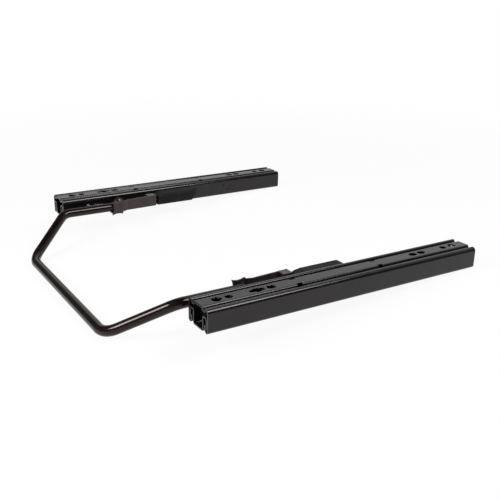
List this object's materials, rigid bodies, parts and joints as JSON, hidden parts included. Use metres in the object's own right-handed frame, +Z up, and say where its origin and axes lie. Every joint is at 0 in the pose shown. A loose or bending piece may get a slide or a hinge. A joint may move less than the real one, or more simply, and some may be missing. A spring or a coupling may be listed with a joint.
{
  "type": "seat slide rail",
  "caption": "Pressed-steel seat slide rails that run on balls and rollers, held by toothed lock plates and freed by lifting a bent release bar.",
  "frame": {"origin": "centre of the four floor bolt holes, on the underside of the rails", "axes": "+X to the seated person's left, +Y to the rear along the rails, +Z up"},
  "size_m": [0.457, 0.4301, 0.0596],
  "materials": {
    "rail_black": "satin black dip coat",
    "bar_black": "gloss black dip coat",
    "lever_black": "satin black with a brown cast",
    "spring_steel": "bright drawn wire",
    "lock_steel": "hardened, dark",
    "bright_steel": "ground",
    "cage_plastic": "natural moulded"
  },
  "bodies": {
    "floor_rails": {"left_lower_rail": "rail_black", "right_lower_rail": "rail_black"},
    "seat_rails": {"left_upper_rail": "rail_black", "right_upper_rail": "rail_black", "left_lever_pivot": "lever_black", "right_lever_pivot": "lever_black", "left_lever_spring": "spring_steel", "right_lever_spring": "spring_steel", "left_lock_housing": "rail_black", "right_lock_housing": "rail_black", "left_housing_rivets": "lever_black", "right_housing_rivets": "lever_black", "left_lock_pin": "bright_steel", "right_lock_pin": "bright_steel"},
    "bearings": {"left_ball_cages": "cage_plastic", "right_ball_cages": "cage_plastic", "left_bearing_balls": "bright_steel", "right_bearing_balls": "bright_steel"},
    "front_rollers": {"left_front_roller": "bright_steel", "right_front_roller": "bright_steel"},
    "rear_rollers": {"left_rear_roller": "bright_steel", "right_rear_roller": "bright_steel"},
    "release": {"release_bar": "bar_black", "left_release_lever": "lever_black", "right_release_lever": "lever_black"},
    "left_lock": {"left_lock_plate": "lock_steel"},
    "right_lock": {"right_lock_plate": "lock_steel"}
  },
  "joints": [
    {"name": "seat_slide", "type": "slide", "parent": "floor_rails", "child": "seat_rails", "axis": [0, 1, 0], "range_m": [-0.085, 0.085]},
    {"name": "bearing_travel", "type": "slide", "parent": "floor_rails", "child": "bearings", "axis": [0, 1, 0], "range_m": [-0.0425, 0.0425]},
    {"name": "front_roller_spin", "type": "hinge", "parent": "bearings", "child": "front_rollers", "pos_m": [0, -0.075, 0.0126], "axis": [1, 0, 0], "range_deg": [-260, 260]},
    {"name": "rear_roller_spin", "type": "hinge", "parent": "bearings", "child": "rear_rollers", "pos_m": [0, 0.075, 0.0126], "axis": [1, 0, 0], "range_deg": [-260, 260]},
    {"name": "release_lift", "type": "hinge", "parent": "seat_rails", "child": "release", "pos_m": [0, -0.0985, 0.0117], "axis": [-1, 0, 0], "range_deg": [0, 3.4], "stiffness_Nm_per_rad": 3, "springref_deg": -11.46},
    {"name": "left_lock_turn", "type": "hinge", "parent": "seat_rails", "child": "left_lock", "pos_m": [0.1833, -0.01515, 0.0102], "axis": [0, -1, 0], "range_deg": [0, 51]},
    {"name": "right_lock_turn", "type": "hinge", "parent": "seat_rails", "child": "right_lock", "pos_m": [-0.1833, -0.01515, 0.0102], "axis": [0, 1, 0], "range_deg": [0, 51]}
  ],
  "couplings": [
    {"joint": "bearing_travel", "follows": "seat_slide", "ratio": 0.5},
    {"joint": "front_roller_spin", "follows": "seat_slide", "rad_per_m": -46.729},
    {"joint": "rear_roller_spin", "follows": "seat_slide", "rad_per_m": -46.729},
    {"joint": "left_lock_turn", "follows": "release_lift", "ratio": 14.705},
    {"joint": "right_lock_turn", "follows": "release_lift", "ratio": 14.705}
  ]
}
